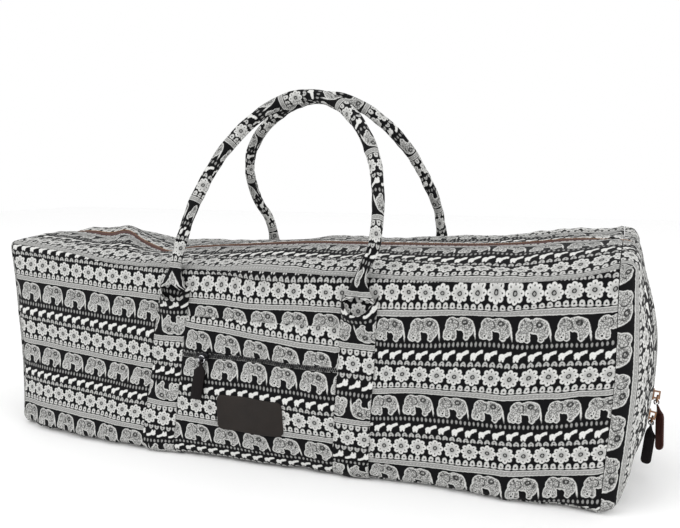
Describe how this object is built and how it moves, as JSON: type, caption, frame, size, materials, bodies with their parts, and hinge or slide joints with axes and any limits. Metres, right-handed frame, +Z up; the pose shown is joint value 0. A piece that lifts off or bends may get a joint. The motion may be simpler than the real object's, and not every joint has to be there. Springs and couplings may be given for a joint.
{
  "type": "yoga mat bag",
  "caption": "Long soft duffel bag for a rolled yoga mat, zipped along the top and down both ends, with padded carry handles and a flat zipped front pocket.",
  "frame": {"origin": "on the floor under the middle of the bag's bottom panel", "axes": "+X along the bag towards the end with the sliders, -Y the front with the pocket, +Z up"},
  "size_m": [0.733, 0.2459, 0.3752],
  "materials": {
    "printed_canvas": "woven cotton canvas, black ground with an off-white stripe print",
    "zip_cloth": "reddish brown woven tape",
    "black_zip": "black woven tape with a nylon coil",
    "zip_metal": "brown antique brass",
    "dark_metal": "gunmetal plated",
    "bright_metal": "bright nickel plated",
    "patch_leather": "dark grey-brown leather, bare",
    "brown_leather": "dark red-brown leather",
    "black_leather": "near-black leather"
  },
  "bodies": {
    "root": {"front_panel": "printed_canvas", "back_panel": "printed_canvas", "bottom_panel": "printed_canvas", "roof_panel_front": "printed_canvas", "roof_panel_back": "printed_canvas", "end_panel_left": "printed_canvas", "end_panel_right": "printed_canvas", "web_front_left": "printed_canvas", "web_front_right": "printed_canvas", "web_back_left": "printed_canvas", "web_back_right": "printed_canvas", "pocket_top_band": "printed_canvas", "pocket_front": "printed_canvas", "handle_front": "printed_canvas", "handle_back": "printed_canvas", "zip_tape_front": "zip_cloth", "zip_tape_back": "zip_cloth", "pocket_zip": "black_zip", "zip_chain": "zip_metal", "end_upper_slider": "zip_metal", "end_lower_slider": "zip_metal", "end_upper_ring": "zip_metal", "end_lower_ring": "zip_metal", "pocket_slider": "dark_metal", "pocket_ring": "bright_metal", "leather_patch": "patch_leather", "end_upper_pull": "brown_leather", "end_lower_pull": "black_leather", "pocket_pull": "black_leather"}
  },
  "joints": []
}
